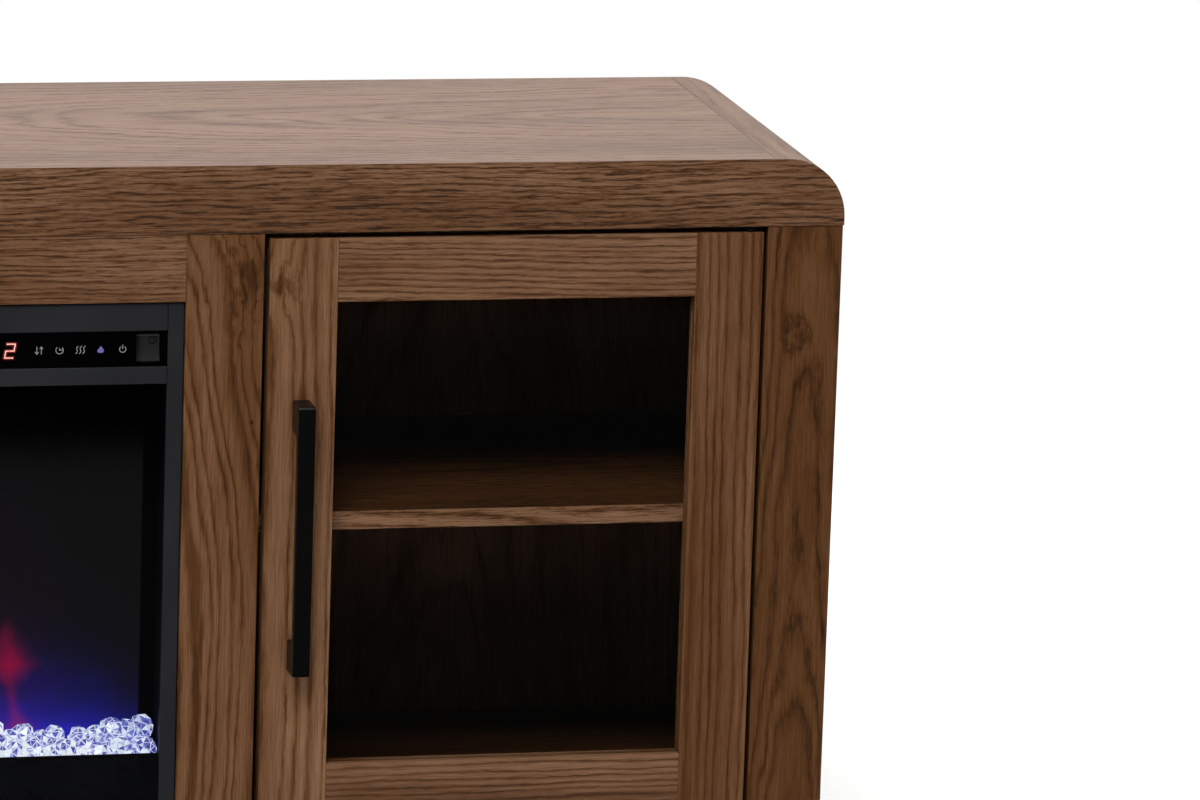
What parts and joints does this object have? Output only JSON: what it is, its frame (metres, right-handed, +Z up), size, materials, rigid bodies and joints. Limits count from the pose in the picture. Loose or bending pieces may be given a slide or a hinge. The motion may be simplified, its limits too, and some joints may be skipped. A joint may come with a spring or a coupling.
{
  "type": "media cabinet with an electric fireplace",
  "caption": "Long brown oak media cabinet with rounded top corners, glazed side doors with black bar handles, a shelf behind each, and an electric fireplace in the middle.",
  "frame": {"origin": "middle of the floor area under the cabinet, handles included", "axes": "+X to the right seen from the front, -Y towards the viewer, +Z up"},
  "size_m": [1.93, 0.463, 0.762],
  "materials": {
    "oak": "satin, open grain",
    "oak_top": "satin, open grain",
    "oak_inner": "matt, open grain",
    "door_glass": "polished",
    "black_metal": "satin black",
    "zinc": "zinc plated",
    "charcoal_trim": "matt charcoal",
    "gloss_black": "gloss",
    "fire_glass": "polished, tinted",
    "case_steel": "matt black",
    "flame_film": "matt, back lit",
    "crystal": "clear, cut facets",
    "black_plastic": "matt",
    "foil": "bright"
  },
  "bodies": {
    "cabinet": {"cap_back_rail": "oak", "cap_front_rail": "oak", "center_bottom_rail": "oak", "crystal_bed": "crystal", "firebox_glass": "fire_glass", "fireplace_case": "case_steel", "fireplace_control_strip": "gloss_black", "fireplace_left_trim": "charcoal_trim", "fireplace_middle_trim": "charcoal_trim", "fireplace_outlet_plate": "gloss_black", "fireplace_right_trim": "charcoal_trim", "fireplace_top_trim": "charcoal_trim", "flame_screen": "flame_film", "floor_panel": "oak_inner", "header_rail": "oak", "heater_duct": "case_steel", "heating_element": "zinc", "left_back_panel": "oak_inner", "left_bottom_rail": "oak", "left_center_post": "oak", "left_divider": "oak_inner", "left_end_moulding": "oak_top", "left_end_post": "oak", "left_lower_pivot": "zinc", "left_magnetic_catch": "black_plastic", "left_shelf": "oak", "left_side_panel": "oak", "left_upper_pivot": "zinc", "power_inlet": "black_plastic", "rear_base_rail": "oak_inner", "right_back_panel": "oak_inner", "right_bottom_rail": "oak", "right_center_post": "oak", "right_divider": "oak_inner", "right_end_moulding": "oak_top", "right_end_post": "oak", "right_lower_pivot": "zinc", "right_magnetic_catch": "black_plastic", "right_shelf": "oak", "right_side_panel": "oak", "right_upper_pivot": "zinc", "rotor_motor": "zinc", "top_panel": "oak_top"},
    "left_door": {"left_door_bottom_rail": "oak", "left_door_glass": "door_glass", "left_door_handle": "black_metal", "left_door_handle_stile": "oak", "left_door_hinge_stile": "oak", "left_door_strike": "zinc", "left_door_top_rail": "oak"},
    "right_door": {"right_door_bottom_rail": "oak", "right_door_glass": "door_glass", "right_door_handle": "black_metal", "right_door_handle_stile": "oak", "right_door_hinge_stile": "oak", "right_door_strike": "zinc", "right_door_top_rail": "oak"},
    "rocker": {"power_rocker": "black_plastic"},
    "fan": {"heater_fan": "black_plastic"},
    "rotor": {"flame_rotor": "foil"}
  },
  "joints": [
    {"name": "left_door_hinge", "type": "hinge", "parent": "cabinet", "child": "left_door", "pos_m": [-0.875, -0.1915, 0.406], "axis": [0, 0, -1], "range_deg": [0, 110]},
    {"name": "right_door_hinge", "type": "hinge", "parent": "cabinet", "child": "right_door", "pos_m": [0.875, -0.1915, 0.406], "axis": [0, 0, 1], "range_deg": [0, 110]},
    {"name": "power_rocker_tilt", "type": "hinge", "parent": "cabinet", "child": "rocker", "pos_m": [0.2972, -0.1905, 0.588], "axis": [1, 0, 0], "range_deg": [0, 16]},
    {"name": "heater_fan_spin", "type": "hinge", "parent": "cabinet", "child": "fan", "pos_m": [0, -0.0935, 0.1439], "axis": [1, 0, 0], "continuous": true},
    {"name": "flame_rotor_spin", "type": "hinge", "parent": "cabinet", "child": "rotor", "pos_m": [0, -0.0595, 0.2095], "axis": [1, 0, 0], "continuous": true}
  ]
}
